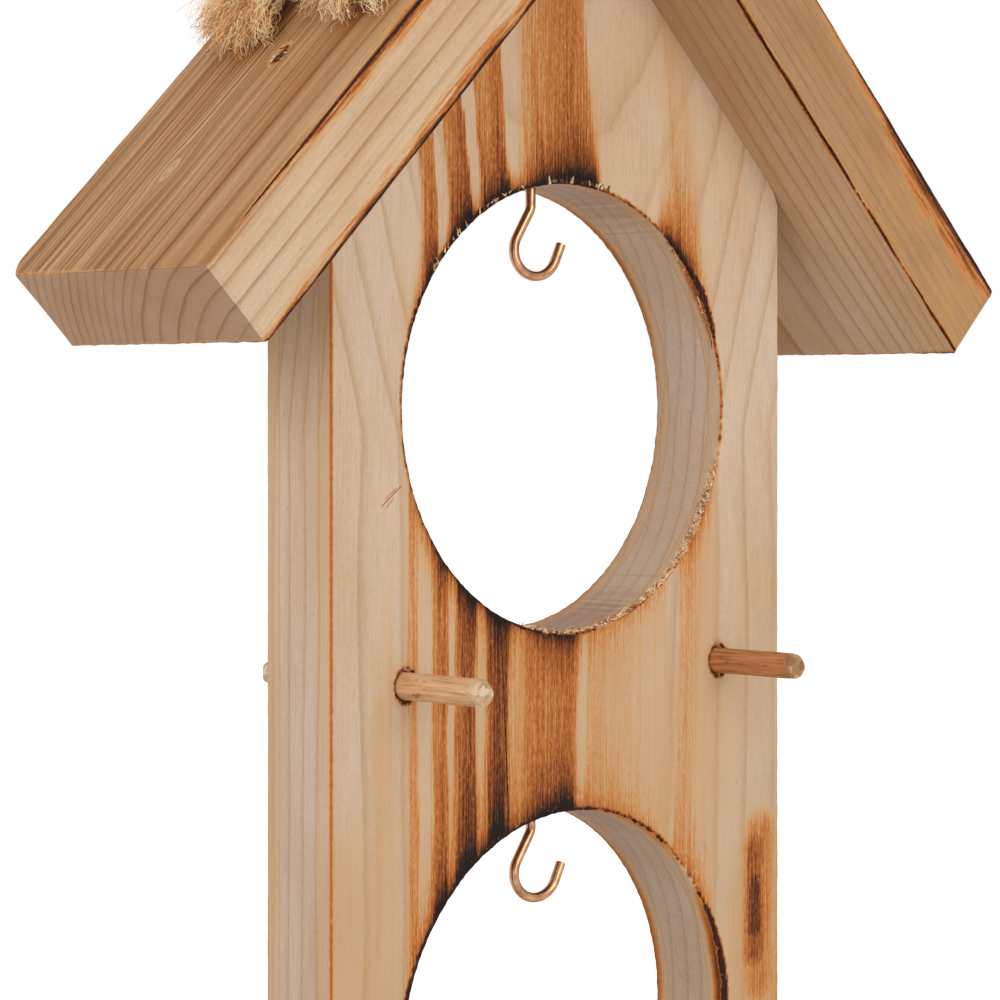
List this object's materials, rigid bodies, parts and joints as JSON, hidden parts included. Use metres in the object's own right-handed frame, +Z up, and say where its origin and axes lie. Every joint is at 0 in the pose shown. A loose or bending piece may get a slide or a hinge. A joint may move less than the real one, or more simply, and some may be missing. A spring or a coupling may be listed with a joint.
{
  "type": "bird feeder",
  "caption": "Upright wooden bird feeder with round feed holes, brass cup hooks, dowel perches, a gable roof and a jute hanging loop.",
  "frame": {"origin": "middle of the body board's foot, on the surface that it stands on", "axes": "+X to the right as seen from the front, -Y to the front (the deeper eave), +Z up along the board"},
  "size_m": [0.244, 0.07, 0.3843],
  "materials": {
    "body_wood": "planed spruce, flamed with a torch, unvarnished",
    "roof_wood": "planed spruce, flamed along its edges, unvarnished",
    "dowel_wood": "rolled dowel, lightly scorched",
    "brass_wire": "drawn bright wire",
    "nail_steel": "bright wire nail",
    "jute": "three-strand natural rope, hairy"
  },
  "bodies": {
    "feeder": {"body_board": "body_wood", "left_roof_board": "roof_wood", "right_roof_board": "roof_wood", "upper_left_perch": "dowel_wood", "upper_right_perch": "dowel_wood", "lower_left_perch": "dowel_wood", "lower_right_perch": "dowel_wood", "ridge_screw_eye": "brass_wire", "left_upper_nail": "nail_steel", "left_lower_nail": "nail_steel", "right_upper_nail": "nail_steel", "right_lower_nail": "nail_steel", "front_ridge_nail": "nail_steel", "back_ridge_nail": "nail_steel", "rope_front_leg": "jute", "rope_back_leg": "jute", "rope_knot": "jute", "rope_front_tail": "jute", "rope_back_tail": "jute"},
    "upper_hook": {"upper_hook": "brass_wire"},
    "lower_hook": {"lower_hook": "brass_wire"}
  },
  "joints": [
    {"name": "upper_hook_turn", "type": "hinge", "parent": "feeder", "child": "upper_hook", "pos_m": [-0.002, 0, 0.276], "axis": [0, 0, 1], "range_deg": [-90, 90]},
    {"name": "lower_hook_turn", "type": "hinge", "parent": "feeder", "child": "lower_hook", "pos_m": [-0.002, 0, 0.136], "axis": [0, 0, 1], "range_deg": [-90, 90]}
  ]
}
